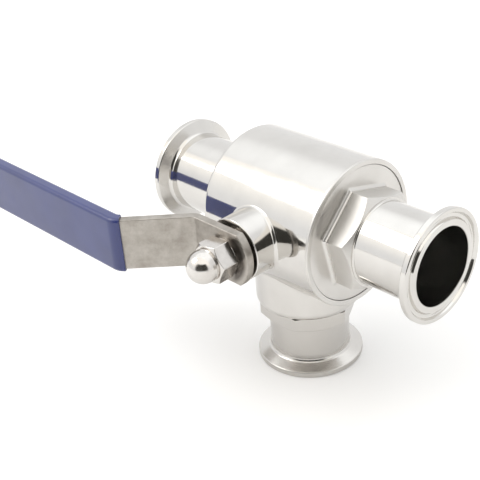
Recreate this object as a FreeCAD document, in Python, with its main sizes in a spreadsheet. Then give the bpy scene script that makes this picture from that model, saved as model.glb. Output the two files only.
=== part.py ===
import FreeCAD, Part
import math
import os
import Sketcher

# Three-way hygienic ball valve for 38.1 mm tube, with clamp ferrules on all three ports.
# The valve stands on its lower ferrule. The origin is the middle of that ferrule's face, +Z is up,
# the straight run lies along X and the stem points along -Y. All sizes are in millimetres.

doc = FreeCAD.newDocument("ThreeWayBallValve")
sheet = doc.addObject("Spreadsheet::Sheet", "Sizes")

TABLE = [
    ("bore_radius", 17.4, "inside of the ports and of the ball's passages"),
    ("tube_wall", 1.65, "wall of the port tubes"),
    ("run_reach", 76.5, "valve centre to the face of the left and right ferrules"),
    ("drop_reach", 75.0, "valve centre to the face of the lower ferrule"),
    ("flange_lip", 6.2, "how far a ferrule's flange stands out from its tube"),
    ("rim_thickness", 2.85, "straight rim of a ferrule's flange"),
    ("flange_taper_angle", 20.0, "slope of a ferrule's back, in degrees"),
    ("rim_bevel", 0.6, "softened edges of a ferrule's rim"),
    ("flange_root", 2.0, "hollow where a ferrule's back meets its tube"),
    ("gasket_groove_out", 4.4, "bore to the middle of the ferrule's gasket groove"),
    ("gasket_groove_depth", 1.6, "depth of the ferrule's gasket groove"),
    ("gasket_groove_floor", 0.8, "half the width of that groove's floor"),
    ("gasket_groove_lean", 0.8, "how much wider each side of the groove is at its mouth"),
    ("seal_band", 1.6, "width of the ring on which a seat seals the ball"),
    ("seat_parting", 0.15, "half the gap between neighbouring seats"),
    ("seat_relief", 0.3, "how far seats and flat seals stand back from the bore"),
    ("ball_running", 0.1, "gap between ball and seats"),
    ("passage_step", 0.1, "how much narrower than the straight passage the ball's lower one is"),
    ("seat_thickness", 7.7, "seat, measured along its bore"),
    ("seat_shoulder", 3.3, "seat, outside its sealing ring"),
    ("seat_fit", 0.05, "gap round a seat in its pocket"),
    ("cavity_gap", 1.0, "gap between ball and cavity wall"),
    ("cavity_depth", 24.0, "valve centre to the left end of the ball cavity"),
    ("barrel_wall", 5.5, "barrel round the ball cavity"),
    ("end_wall", 4.2, "barrel beyond the left and right seats"),
    ("barrel_end_round", 2.6, "rounding of the barrel's closed end"),
    ("barrel_rim_bevel", 0.5, "softened edge of the barrel's open end"),
    ("weld_leg", 1.2, "weld where the left tube leaves the barrel"),
    ("gasket_width", 2.0, "ring-shaped seal between cap and barrel, across"),
    ("gasket_thickness", 1.0, "both flat seals"),
    ("gasket_ledge", 0.5, "lower seat's pocket to the cap seal's ledge"),
    ("cap_lip", 1.15, "cap disc, outside its thread"),
    ("cap_disc", 3.0, "thickness of the cap disc, flush with the barrel"),
    ("disc_fit", 0.08, "gap round the cap disc"),
    ("thread_fit", 0.05, "gap round a screwed shank"),
    ("hex_wall", 1.45, "wrench flats outside the tube"),
    ("cap_hex_height", 12.5, "hexagon on the right cap"),
    ("cap_hex_angle", 14.5, "where the cap's thread comes to rest, in degrees"),
    ("cap_bevel_angle", 38.0, "slope of the turned bevel on the cap's hexagon, in degrees"),
    ("cap_foot_round", 1.8, "hollow round the foot of the cap's hexagon"),
    ("drop_hex_height", 7.8, "hexagon on the lower fitting"),
    ("drop_hex_angle", 2.5, "where the lower fitting's thread comes to rest, in degrees"),
    ("hex_bevel_angle", 30.0, "slope of the bevel on the other hexagons, in degrees"),
    ("hex_bevel_inset", 0.35, "bevel's small circle inside the wrench flats"),
    ("shank_wall", 3.2, "lower fitting's shank outside its bore"),
    ("shank_length", 12.0, "lower fitting's screwed length"),
    ("socket_ledge", 3.0, "lower seat's pocket to the fitting's socket"),
    ("branch_wall", 4.2, "lower branch round the socket"),
    ("branch_round", 1.9, "rounding of the lower branch's end"),
    ("branch_crease", 1.6, "hollow where the branch leaves the barrel"),
    ("lead_in", 0.5, "small bevels on screwed and fitted ends"),
    ("stem_radius", 7.0, "stem shaft"),
    ("stem_running", 0.05, "gap round the stem"),
    ("slot_depth", 5.0, "drive slot in the ball"),
    ("tongue_width", 8.0, "drive tongue on the stem, across"),
    ("tongue_fit", 0.05, "gap each side of the tongue"),
    ("collar_radius", 9.5, "stem collar that cannot be blown out"),
    ("collar_gap", 0.6, "ball to stem collar"),
    ("collar_thickness", 4.0, "stem collar"),
    ("thrust_thickness", 1.5, "thrust washer"),
    ("neck_length", 2.6, "barrel wall between thrust washer and packing"),
    ("packing_width", 3.2, "packing, stem to box wall"),
    ("packing_fit", 0.05, "gap round the packing and the gland"),
    ("packing_edge", 0.8, "base ring at its edges"),
    ("packing_pitch", 1.3, "height that each chevron ring adds"),
    ("packing_apex", 1.2, "rise of a chevron"),
    ("packing_cover", 2.2, "top ring at its edges"),
    ("chevron_rings", 2.0, "number of chevron rings"),
    ("gland_height", 2.8, "gland"),
    ("spring_thickness", 1.9, "spring washer between gland and lever"),
    ("spring_split", 1.2, "slit of the spring washer"),
    ("spring_slant_angle", 20.0, "slant of that slit, in degrees"),
    ("lever_gap", 1.5, "boss to lever"),
    ("boss_wall", 4.3, "stem boss round the packing box"),
    ("boss_bevel", 0.5, "softened edge of the boss's face"),
    ("boss_crease", 1.6, "hollow where the boss leaves the barrel"),
    ("lever_thickness", 4.0, "lever strip"),
    ("lever_half_width", 12.25, "lever strip, half its width"),
    ("lever_toe", 14.0, "stem to the lever's short end"),
    ("toe_fall", 5.5, "how far the short end curves back towards its corners"),
    ("lever_bend_start", 18.5, "stem to the first bend, on the front"),
    ("lever_offset", 25.0, "how far the lever steps outwards"),
    ("lever_bend_angle", 45.0, "angle of both bends, in degrees"),
    ("bend_round", 3.0, "inside radius of the bends"),
    ("lever_reach", 170.0, "stem to the tip of the lever"),
    ("tip_round", 9.0, "rounded corners of the lever's tip"),
    ("drive_half_flat", 5.0, "stem flats that carry the lever, half across"),
    ("drive_fit", 0.05, "gap between stem flats and lever"),
    ("sleeve_wall", 1.25, "vinyl over the lever"),
    ("sleeve_lead", 0.4, "straight open end of the sleeve before the second bend"),
    ("sleeve_round", 2.0, "rounded long edges of the sleeve"),
    ("screw_radius", 5.0, "threaded end of the stem"),
    ("screw_fit", 0.1, "gap round the threaded end"),
    ("washer_radius", 8.3, "flat washer"),
    ("washer_thickness", 1.1, "flat washer"),
    ("nut_half_flats", 8.5, "domed nut, half across its flats"),
    ("nut_hex_height", 8.9, "domed nut's hexagon"),
    ("nut_angle", 4.0, "where the domed nut comes to rest, in degrees"),
    ("nut_neck", 2.4, "straight part under the dome, with its groove"),
    ("neck_groove_width", 0.8, "groove between the domed nut's hexagon and neck"),
    ("neck_groove_depth", 0.5, "depth of that groove"),
    ("dome_radius", 7.4, "dome"),
    ("screw_stand", 14.0, "threaded end beyond the lever"),
]


class Size:
    """A number together with the formula that gives it from the table of sizes."""

    def __init__(self, value, formula=None):
        self.value = float(value)
        self.formula = formula or repr(float(value))

    def __add__(self, other):
        return joined(self, "+", other, self.value + number(other))

    def __radd__(self, other):
        return Size(other) + self

    def __sub__(self, other):
        return joined(self, "-", other, self.value - number(other))

    def __rsub__(self, other):
        return Size(other) - self

    def __mul__(self, other):
        return joined(self, "*", other, self.value * number(other))

    def __rmul__(self, other):
        return Size(other) * self

    def __truediv__(self, other):
        return joined(self, "/", other, self.value / number(other))

    def __neg__(self):
        return 0.0 - self


def number(amount):
    return amount.value if isinstance(amount, Size) else float(amount)


def as_size(amount):
    return amount if isinstance(amount, Size) else Size(amount)


def joined(left, sign, right, value):
    return Size(value, f"({left.formula} {sign} {as_size(right).formula})")


def root(amount):
    return Size(math.sqrt(amount.value), f"sqrt({amount.formula})")


def sine(angle):
    return Size(math.sin(math.radians(number(angle))), f"sin({as_size(angle).formula} * 1 deg)")


def cosine(angle):
    return Size(math.cos(math.radians(number(angle))), f"cos({as_size(angle).formula} * 1 deg)")


def tangent(angle):
    return Size(math.tan(math.radians(number(angle))), f"tan({as_size(angle).formula} * 1 deg)")


def enter_sizes():
    """The driving sizes as cells of the table, each with a name that formulas use."""
    sizes = {}
    for row, (name, value, meaning) in enumerate(TABLE, 1):
        sheet.set(f"A{row}", meaning)
        sheet.set(f"B{row}", str(value))
        sheet.setAlias(f"B{row}", name)
        sizes[name] = Size(value, f"Sizes.{name}")
    doc.recompute()
    return sizes


class Named:
    """The sizes by name, so that a formula reads as words."""

    def __init__(self, sizes):
        self.__dict__.update(sizes)


s = Named(enter_sizes())

# Sizes that follow from the table.
tube_radius = s.bore_radius + s.tube_wall
flange_radius = tube_radius + s.flange_lip
flange_taper_depth = s.flange_lip * tangent(s.flange_taper_angle)
groove_middle = s.bore_radius + s.gasket_groove_out

seal_outer = s.bore_radius + s.seal_band
seat_sphere = (seal_outer + s.seat_parting) * math.sqrt(2)
ball_radius = seat_sphere - s.ball_running
relief_radius = s.bore_radius + s.seat_relief
seal_start = root(seat_sphere * seat_sphere - relief_radius * relief_radius)
seal_end = root(seat_sphere * seat_sphere - seal_outer * seal_outer)
seat_floor = seal_start + s.seat_thickness
seat_outer = seal_outer + s.seat_shoulder
pocket_radius = seat_outer + s.seat_fit

cavity_radius = ball_radius + s.cavity_gap
barrel_radius = cavity_radius + s.barrel_wall
barrel_half = seat_floor + s.end_wall
ledge_radius = cavity_radius + s.gasket_width
opening_radius = ledge_radius + s.cap_lip
ledge_place = seat_outer + s.gasket_ledge
disc_back = barrel_half - s.cap_disc

hex_half_flats = tube_radius + s.hex_wall
shank_radius = s.bore_radius + s.shank_wall
branch_radius = shank_radius + s.branch_wall
socket_floor = seat_floor + s.socket_ledge
branch_end = socket_floor + s.gasket_thickness + s.shank_length

collar_start = ball_radius + s.collar_gap
collar_end = collar_start + s.collar_thickness
thrust_end = collar_end + s.thrust_thickness
packing_start = thrust_end + s.neck_length
packing_radius = s.stem_radius + s.packing_width
packing_top_edge = packing_start + s.packing_edge + s.chevron_rings * s.packing_pitch
gland_start = packing_top_edge + s.packing_cover
gland_end = gland_start + s.gland_height
lever_back = gland_end + s.spring_thickness
lever_front = lever_back + s.lever_thickness
boss_end = lever_back - s.lever_gap
boss_radius = packing_radius + s.boss_wall
washer_end = lever_front + s.washer_thickness
nut_hex_end = washer_end + s.nut_hex_height
dome_centre = nut_hex_end + s.nut_neck

RIGHT = FreeCAD.Rotation(FreeCAD.Vector(0, 1, 0), 90)
LEFT = FreeCAD.Rotation(FreeCAD.Vector(0, 1, 0), -90)
DOWN = FreeCAD.Rotation(FreeCAD.Vector(1, 0, 0), 180)
UP = FreeCAD.Rotation()
FORWARD = FreeCAD.Rotation(FreeCAD.Vector(1, 0, 0), 90)

pieces = []


def new_piece(label, facing=UP):
    """An empty body at the valve centre, whose own Z axis points the given way."""
    body = doc.addObject("PartDesign::Body", label)
    body.Label = label
    body.Placement = FreeCAD.Placement(FreeCAD.Vector(0, 0, s.drop_reach.value), facing)
    body.setExpression("Placement.Base.z", s.drop_reach.formula)
    pieces.append(body)
    return body


def new_sketch(body, name, plane):
    sketch = body.newObject("Sketcher::SketchObject", name)
    origin_plane = next(part for part in body.Origin.OriginFeatures if part.Role == plane)
    sketch.AttachmentSupport = [(origin_plane, "")]
    sketch.MapMode = "FlatFace"
    return sketch


def tie(sketch, kind, edge, end, amount):
    """Hold one point of the sketch at a distance from the origin that follows the table."""
    amount = as_size(amount)
    index = sketch.addConstraint(Sketcher.Constraint(kind, -1, 1, edge, end, amount.value))
    sketch.setExpression(f"Constraints[{index}]", amount.formula)


def add_arc(sketch, start, stop, arc):
    """Arc about (across, up); returns its index and which of its ends is the start."""
    across, up, turn = arc
    centre = FreeCAD.Vector(number(across), number(up), 0)
    begin = math.atan2(start[1] - centre.y, start[0] - centre.x)
    finish = math.atan2(stop[1] - centre.y, stop[0] - centre.x)
    radius = math.hypot(start[0] - centre.x, start[1] - centre.y)
    if turn < 0:
        begin, finish = finish, begin
    circle = Part.Circle(centre, FreeCAD.Vector(0, 0, 1), radius)
    edge = sketch.addGeometry(Part.ArcOfCircle(circle, begin, finish), False)
    return edge, (1, 2) if turn > 0 else (2, 1)


def outline(body, name, plane, corners):
    """Closed outline through the corners, each one (across, up) and tied to the table.

    A corner with a third item, (centre across, centre up, +1 or -1), starts an arc about that
    centre, anticlockwise or clockwise.
    """
    sketch = new_sketch(body, name, plane)
    places = [(number(corner[0]), number(corner[1])) for corner in corners]
    edges = []
    for index, corner in enumerate(corners):
        start = places[index]
        stop = places[(index + 1) % len(places)]
        if len(corner) == 3:
            edges.append(add_arc(sketch, start, stop, corner[2]))
        else:
            line = Part.LineSegment(FreeCAD.Vector(*start, 0), FreeCAD.Vector(*stop, 0))
            edges.append((sketch.addGeometry(line, False), (1, 2)))
    for index, corner in enumerate(corners):
        edge, ends = edges[index]
        after, after_ends = edges[(index + 1) % len(edges)]
        sketch.addConstraint(Sketcher.Constraint("Coincident", edge, ends[1], after, after_ends[0]))
        tie(sketch, "DistanceX", edge, ends[0], corner[0])
        tie(sketch, "DistanceY", edge, ends[0], corner[1])
    for index, corner in enumerate(corners):
        if len(corner) == 3:
            start = places[index]
            stop = places[(index + 1) % len(places)]
            upright = abs(stop[0] - start[0]) < abs(stop[1] - start[1])
            kind, amount = ("DistanceX", corner[2][0]) if upright else ("DistanceY", corner[2][1])
            tie(sketch, kind, edges[index][0], 3, amount)
    return sketch


def disc(body, name, plane, across, up, radius):
    """Full circle whose centre and radius follow the table."""
    sketch = new_sketch(body, name, plane)
    centre = FreeCAD.Vector(number(across), number(up), 0)
    circle = Part.Circle(centre, FreeCAD.Vector(0, 0, 1), number(radius))
    sketch.addGeometry(circle, False)
    tie(sketch, "DistanceX", 0, 3, across)
    tie(sketch, "DistanceY", 0, 3, up)
    index = sketch.addConstraint(Sketcher.Constraint("Radius", 0, number(radius)))
    sketch.setExpression(f"Constraints[{index}]", as_size(radius).formula)
    return sketch


def spin(body, kind, name, sketch, axis):
    """Turn a sketch once round its own horizontal (H_Axis) or vertical (V_Axis) axis."""
    volume = volume_of(body)
    feature = body.newObject(f"PartDesign::{kind}", name)
    feature.Profile = sketch
    feature.ReferenceAxis = (sketch, [axis])
    feature.Angle = 360.0
    doc.recompute()
    check_change(body, kind == "Groove", volume, name)
    return feature


def turn(body, kind, name, corners):
    """Revolution or Groove of an outline, (radius, along), about the piece's own Z axis."""
    return spin(body, kind, name, outline(body, name + "_outline", "XZ_Plane", corners), "V_Axis")


def raise_or_cut(body, kind, name, sketch, length, reverse=False, both_ways=False):
    """Pad or Pocket of a sketch."""
    volume = volume_of(body)
    feature = body.newObject(f"PartDesign::{kind}", name)
    feature.Profile = sketch
    feature.SideType = "Symmetric" if both_ways else "One side"
    feature.Reversed = reverse
    feature.Length = number(length)
    feature.setExpression("Length", as_size(length).formula)
    doc.recompute()
    check_change(body, kind == "Pocket", volume, name)
    return feature


def volume_of(body):
    return 0.0 if body.Shape.isNull() else body.Shape.Volume


def check_change(body, removes, volume, name):
    change = volume_of(body) - volume
    if (change >= 0) == removes:
        raise ValueError(f"{body.Label}: {name} changed the volume by {change:.3f}")


def dress(body, kind, name, amount, wanted):
    """Fillet or Chamfer on those edges of the piece so far that wanted() accepts."""
    base = body.Tip
    edges = [f"Edge{n}" for n, edge in enumerate(base.Shape.Edges, 1) if wanted(edge)]
    if not edges:
        raise ValueError(f"{body.Label}: {name} found no edge")
    feature = body.newObject(f"PartDesign::{kind}", name)
    feature.Base = (base, edges)
    amount = as_size(amount)
    setting = "Radius" if kind == "Fillet" else "Size"
    setattr(feature, setting, amount.value)
    feature.setExpression(setting, amount.formula)
    doc.recompute()
    return feature


NEAR = 0.01


def ring_at(radius, place, along):
    """Test for a circular edge of this radius, centred at this place on a local axis."""
    axis = "xyz".index(along)

    def wanted(edge):
        if not isinstance(edge.Curve, Part.Circle):
            return False
        centre = edge.Curve.Center
        off_axis = math.hypot(*[centre[k] for k in range(3) if k != axis])
        same_radius = abs(edge.Curve.Radius - number(radius)) < NEAR
        same_place = abs(centre[axis] - number(place)) < NEAR
        return same_radius and same_place and off_axis < NEAR

    return wanted


def any_of(*tests):
    return lambda edge: any(test(edge) for test in tests)


def crease(radius, along):
    """Test for the curve in which a round branch of this radius meets the barrel along X."""
    axis = "xyz".index(along)

    def wanted(edge):
        middle = edge.valueAt((edge.FirstParameter + edge.LastParameter) / 2)
        from_branch = math.hypot(*[middle[k] for k in range(3) if k != axis])
        from_barrel = math.hypot(middle.y, middle.z)
        on_branch = abs(from_branch - number(radius)) < NEAR
        return on_branch and abs(from_barrel - barrel_radius.value) < NEAR

    return wanted


def ferrule_outline(reach, start):
    """Corners from the tube at start to the flange face at reach, as (along, radius)."""
    back = reach - s.rim_thickness
    return [
        (start, tube_radius),
        (back - flange_taper_depth, tube_radius),
        (back, flange_radius),
        (reach, flange_radius),
    ]


def swapped(corners):
    return [(up, across) for across, up in corners]


def gasket_groove(reach):
    """Corners of the gasket groove in the face at reach, as (radius, along)."""
    floor = reach - s.gasket_groove_depth
    narrow = s.gasket_groove_floor
    wide = s.gasket_groove_floor + s.gasket_groove_lean
    return [
        (groove_middle - wide, reach), (groove_middle - narrow, floor),
        (groove_middle + narrow, floor), (groove_middle + wide, reach),
    ]


def ferrule_rims(reach):
    """Test for both edges of a ferrule's rim."""
    return any_of(ring_at(flange_radius, reach, "z"), ring_at(flange_radius, reach - s.rim_thickness, "z"))


def ferrule_root(reach):
    return ring_at(tube_radius, reach - s.rim_thickness - flange_taper_depth, "z")


# Angle between the middle of a hexagon's flat and its corner, in degrees.
FLAT_TO_CORNER = 30.0


def hexagon(body, name, half_flats, turn, place):
    """Six-sided outline on the plane z = place of the piece."""
    corner_radius = half_flats / cosine(FLAT_TO_CORNER)
    corners = []
    for step in range(6):
        angle = turn + 2 * FLAT_TO_CORNER * step
        corners.append((corner_radius * cosine(angle), corner_radius * sine(angle)))
    sketch = outline(body, name, "XY_Plane", corners)
    sketch.AttachmentOffset = FreeCAD.Placement(FreeCAD.Vector(0, 0, number(place)), UP)
    sketch.setExpression("AttachmentOffset.Base.z", as_size(place).formula)
    doc.recompute()
    return sketch


def bevel_hexagon(body, name, half_flats, end, slope):
    """Turned bevel that trims a hexagon's corners at its end."""
    inner = half_flats - s.hex_bevel_inset
    outer = half_flats / cosine(FLAT_TO_CORNER) + s.lead_in
    drop = (outer - inner) * tangent(slope)
    past = end + s.lead_in
    corners = [(inner, end), (outer, end - drop), (outer, past), (inner, past)]
    return turn(body, "Groove", name, corners)


def foot_of_hexagon(half_flats, place):
    """Test for the straight edges on which a hexagon stands, on the plane z = place."""
    corner_radius = number(half_flats / cosine(FLAT_TO_CORNER))

    def wanted(edge):
        ends = [vertex.Point for vertex in edge.Vertexes]
        at_corners = all(abs(math.hypot(end.x, end.y) - corner_radius) < NEAR for end in ends)
        return len(ends) == 2 and at_corners and all(abs(end.z - number(place)) < NEAR for end in ends)

    return wanted


def make_valve_body():
    """Barrel with its lower branch and stem boss, bored out from three sides."""
    body = new_piece("valve_body")
    profile = [
        (barrel_half, 0), (barrel_half, barrel_radius), (-barrel_half, barrel_radius), (-barrel_half, 0),
    ]
    spin(body, "Revolution", "barrel", outline(body, "barrel_outline", "XY_Plane", profile), "H_Axis")
    boss = disc(body, "boss_outline", "XZ_Plane", 0, 0, boss_radius)
    raise_or_cut(body, "Pad", "stem_boss", boss, boss_end)
    branch = disc(body, "branch_outline", "XY_Plane", 0, 0, branch_radius)
    raise_or_cut(body, "Pad", "lower_branch", branch, branch_end, reverse=True)

    dress(body, "Fillet", "branch_hollow", s.branch_crease, crease(branch_radius, "z"))
    dress(body, "Fillet", "boss_hollow", s.boss_crease, crease(boss_radius, "y"))
    closed_end = ring_at(barrel_radius, -barrel_half, "x")
    open_end = ring_at(barrel_radius, barrel_half, "x")
    dress(body, "Fillet", "closed_end_round", s.barrel_end_round, closed_end)
    dress(body, "Fillet", "branch_end_round", s.branch_round, ring_at(branch_radius, -branch_end, "z"))

    run = [
        (barrel_half, 0), (barrel_half, opening_radius), (disc_back, opening_radius),
        (disc_back, ledge_radius), (ledge_place, ledge_radius), (ledge_place, cavity_radius),
        (-s.cavity_depth, cavity_radius), (-s.cavity_depth, pocket_radius),
        (-seat_floor, pocket_radius), (-seat_floor, s.bore_radius),
        (-barrel_half, s.bore_radius), (-barrel_half, 0),
    ]
    spin(body, "Groove", "run_bore", outline(body, "run_bore_outline", "XY_Plane", run), "H_Axis")
    drop = [
        (0, 0), (pocket_radius, 0), (pocket_radius, -seat_floor),
        (relief_radius, -seat_floor), (relief_radius, -socket_floor),
        (shank_radius, -socket_floor), (shank_radius, -branch_end), (0, -branch_end),
    ]
    turn(body, "Groove", "drop_bore", drop)
    collar_bore = s.collar_radius + 2 * s.stem_running
    neck_bore = s.stem_radius + s.stem_running
    stem = [
        (0, 0), (collar_bore, 0), (collar_bore, -thrust_end), (neck_bore, -thrust_end),
        (neck_bore, -packing_start), (packing_radius, -packing_start),
        (packing_radius, -boss_end), (0, -boss_end),
    ]
    spin(body, "Groove", "stem_bore", outline(body, "stem_bore_outline", "XY_Plane", stem), "V_Axis")
    dress(body, "Chamfer", "open_end_bevel", s.barrel_rim_bevel, open_end)
    dress(body, "Chamfer", "boss_face_bevel", s.boss_bevel, ring_at(boss_radius, -boss_end, "y"))
    dress(body, "Chamfer", "packing_lead_in", s.lead_in, ring_at(packing_radius, -boss_end, "y"))


def finish_port(body, reach):
    """Gasket groove and rounded rim of a ferrule that points along the piece's Z axis."""
    turn(body, "Groove", "gasket_groove", gasket_groove(reach))
    dress(body, "Fillet", "flange_hollow", s.flange_root, ferrule_root(reach))
    dress(body, "Chamfer", "rim_bevel", s.rim_bevel, ferrule_rims(reach))


def make_left_port():
    """Left port: a tube with a ferrule, welded to the closed end of the barrel."""
    body = new_piece("left_port_tube", LEFT)
    profile = [
        (s.bore_radius, barrel_half), (tube_radius + s.weld_leg, barrel_half),
        (tube_radius, barrel_half + s.weld_leg),
    ]
    profile += swapped(ferrule_outline(s.run_reach, barrel_half))[1:] + [(s.bore_radius, s.run_reach)]
    turn(body, "Revolution", "turned_form", profile)
    finish_port(body, s.run_reach)


def make_run_end_cap():
    """Right port: a flush screwed disc with a hexagon, a tube and a ferrule."""
    body = new_piece("run_end_cap", RIGHT)
    skirt_end = ledge_place + s.gasket_thickness
    skirt_radius = ledge_radius - s.thread_fit
    disc_radius = opening_radius - s.disc_fit
    profile = [
        (s.bore_radius, seat_floor), (pocket_radius, seat_floor), (pocket_radius, skirt_end),
        (skirt_radius, skirt_end), (skirt_radius, disc_back), (disc_radius, disc_back),
        (disc_radius, barrel_half),
    ]
    profile += swapped(ferrule_outline(s.run_reach, barrel_half)) + [(s.bore_radius, s.run_reach)]
    turn(body, "Revolution", "turned_form", profile)
    flats = hexagon(body, "hexagon_outline", hex_half_flats, s.cap_hex_angle, barrel_half)
    raise_or_cut(body, "Pad", "hexagon", flats, s.cap_hex_height)
    hexagon_end = barrel_half + s.cap_hex_height
    bevel_hexagon(body, "hexagon_bevel", hex_half_flats, hexagon_end, s.cap_bevel_angle)
    clear_bore(body, barrel_half, s.cap_hex_height)
    foot = foot_of_hexagon(hex_half_flats, barrel_half)
    dress(body, "Fillet", "hexagon_foot", s.cap_foot_round, foot)
    finish_port(body, s.run_reach)
    dress(body, "Chamfer", "skirt_lead_in", s.lead_in, ring_at(skirt_radius, skirt_end, "z"))


def clear_bore(body, start, height):
    """Bore through the hexagon, at one with the port's bore."""
    corners = [(0, start), (s.bore_radius, start), (s.bore_radius, start + height), (0, start + height)]
    turn(body, "Groove", "hexagon_bore", corners)


def make_drop_fitting():
    """Lower port: a screwed shank with a hexagon, a short tube and a ferrule."""
    body = new_piece("drop_fitting", DOWN)
    shank_start = socket_floor + s.gasket_thickness
    fitted_radius = shank_radius - s.thread_fit
    profile = [(s.bore_radius, shank_start), (fitted_radius, shank_start), (fitted_radius, branch_end)]
    profile += swapped(ferrule_outline(s.drop_reach, branch_end)) + [(s.bore_radius, s.drop_reach)]
    turn(body, "Revolution", "turned_form", profile)
    flats = hexagon(body, "hexagon_outline", hex_half_flats, s.drop_hex_angle, branch_end)
    raise_or_cut(body, "Pad", "hexagon", flats, s.drop_hex_height)
    hexagon_end = branch_end + s.drop_hex_height
    bevel_hexagon(body, "hexagon_bevel", hex_half_flats, hexagon_end, s.hex_bevel_angle)
    clear_bore(body, branch_end, s.drop_hex_height)
    finish_port(body, s.drop_reach)
    dress(body, "Chamfer", "shank_lead_in", s.lead_in, ring_at(fitted_radius, shank_start, "z"))


def make_ball():
    """Ball with a passage right through along X, one more downwards, and the drive slot."""
    body = new_piece("ball")
    half = [(0, -ball_radius, (0, 0, 1)), (0, ball_radius)]
    spin(body, "Revolution", "sphere", outline(body, "sphere_outline", "XY_Plane", half), "V_Axis")
    past = ball_radius + s.cavity_gap
    run = [(-past, 0), (-past, s.bore_radius), (past, s.bore_radius), (past, 0)]
    spin(body, "Groove", "run_passage", outline(body, "run_passage_outline", "XY_Plane", run), "H_Axis")
    drop_radius = s.bore_radius - s.passage_step
    drop = [(0, 0), (drop_radius, 0), (drop_radius, -past), (0, -past)]
    turn(body, "Groove", "drop_passage", drop)
    half_slot = s.tongue_width / 2 + s.tongue_fit
    floor = ball_radius - s.slot_depth
    slot = [(-past, -half_slot), (-floor, -half_slot), (-floor, half_slot), (-past, half_slot)]
    sketch = outline(body, "drive_slot_outline", "YZ_Plane", slot)
    raise_or_cut(body, "Pocket", "drive_slot", sketch, 2 * past, both_ways=True)


def make_seat(label, facing):
    """Seat ring: a cupped sealing face on the ball, bevelled to clear the next seats."""
    body = new_piece(label, facing)
    profile = [
        (relief_radius, seat_floor), (relief_radius, seal_start, (0, 0, -1)), (seal_outer, seal_end),
        (seat_outer, seal_end + s.seat_shoulder), (seat_outer, seat_floor),
    ]
    turn(body, "Revolution", "ring", profile)


def make_ring(label, facing, inner, outer, start, end):
    """Plain flat ring."""
    body = new_piece(label, facing)
    profile = [(inner, start), (outer, start), (outer, end), (inner, end)]
    turn(body, "Revolution", "ring", profile)
    return body


def make_stem():
    """Stem: drive tongue, collar, shaft, two flats for the lever and a threaded end."""
    body = new_piece("stem", FORWARD)
    shaft_end = lever_back - s.stem_running
    flats_end = lever_front - s.lead_in
    screw_end = lever_front + s.screw_stand
    profile = [
        (0, collar_start), (s.collar_radius, collar_start), (s.collar_radius, collar_end),
        (s.stem_radius, collar_end), (s.stem_radius, flats_end), (s.screw_radius, flats_end),
        (s.screw_radius, screw_end - s.lead_in), (s.screw_radius - s.lead_in, screw_end), (0, screw_end),
    ]
    turn(body, "Revolution", "turned_form", profile)
    tongue_start = ball_radius - s.slot_depth + s.tongue_fit
    half_width = s.tongue_width / 2
    half_length = root(s.collar_radius * s.collar_radius - half_width * half_width) - s.tongue_fit
    tongue = [
        (-half_length, tongue_start), (half_length, tongue_start),
        (half_length, collar_start), (-half_length, collar_start),
    ]
    sketch = outline(body, "tongue_outline", "XZ_Plane", tongue)
    raise_or_cut(body, "Pad", "drive_tongue", sketch, s.tongue_width, both_ways=True)
    beyond = s.stem_radius + s.lead_in
    for side, name in (1.0, "upper"), (-1.0, "lower"):
        flat = [
            (s.drive_half_flat * side, shaft_end), (beyond * side, shaft_end),
            (beyond * side, flats_end), (s.drive_half_flat * side, flats_end),
        ]
        sketch = outline(body, name + "_flat_outline", "YZ_Plane", flat)
        raise_or_cut(body, "Pocket", name + "_flat", sketch, 2 * beyond, both_ways=True)


def chevron_profile(lower, upper, flat_below=False, flat_above=False):
    """Packing ring between two edge heights; its middle rises where a side isn't flat."""
    inner = s.stem_radius + s.stem_running
    outer = packing_radius - s.packing_fit
    middle = (inner + outer) / 2
    under = [(inner, lower), (middle, lower + s.packing_apex), (outer, lower)]
    over = [(outer, upper), (middle, upper + s.packing_apex), (inner, upper)]
    if flat_below:
        under.pop(1)
    if flat_above:
        over.pop(1)
    return under + over


def make_packing():
    """Base ring, chevron rings and top ring, nested in the packing box."""
    edge = packing_start + s.packing_edge
    stack = [("packing_base_ring", chevron_profile(packing_start, edge, flat_below=True))]
    for ring in range(int(s.chevron_rings.value)):
        stack.append((f"packing_chevron_{ring + 1}", chevron_profile(edge, edge + s.packing_pitch)))
        edge = edge + s.packing_pitch
    stack.append(("packing_top_ring", chevron_profile(edge, edge + s.packing_cover, flat_above=True)))
    for label, profile in stack:
        body = new_piece(label, FORWARD)
        turn(body, "Revolution", "ring", profile)


# The lever is a strip with two equal bends, so its front and back share these places.
bend_lean = tangent(s.lever_bend_angle / 2)
first_bend = s.lever_bend_start
second_bend = first_bend + s.lever_offset / tangent(s.lever_bend_angle)
handle_front = lever_front + s.lever_offset
handle_back = lever_back + s.lever_offset


def edges_along(direction, places):
    """Test for straight edges in this direction that pass through the given (x, y) places.

    A place with None for y takes every such edge at its x.
    """

    def wanted(edge):
        ends = [vertex.Point for vertex in edge.Vertexes]
        if len(ends) != 2 or (ends[0] - ends[1]).cross(direction).Length > NEAR:
            return False
        return any(
            abs(ends[0].x - number(x)) < NEAR and (y is None or abs(ends[0].y - number(y)) < NEAR)
            for x, y in places
        )

    return wanted


ACROSS_STRIP = FreeCAD.Vector(0, 0, 1)
THROUGH_STRIP = FreeCAD.Vector(0, 1, 0)


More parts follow.
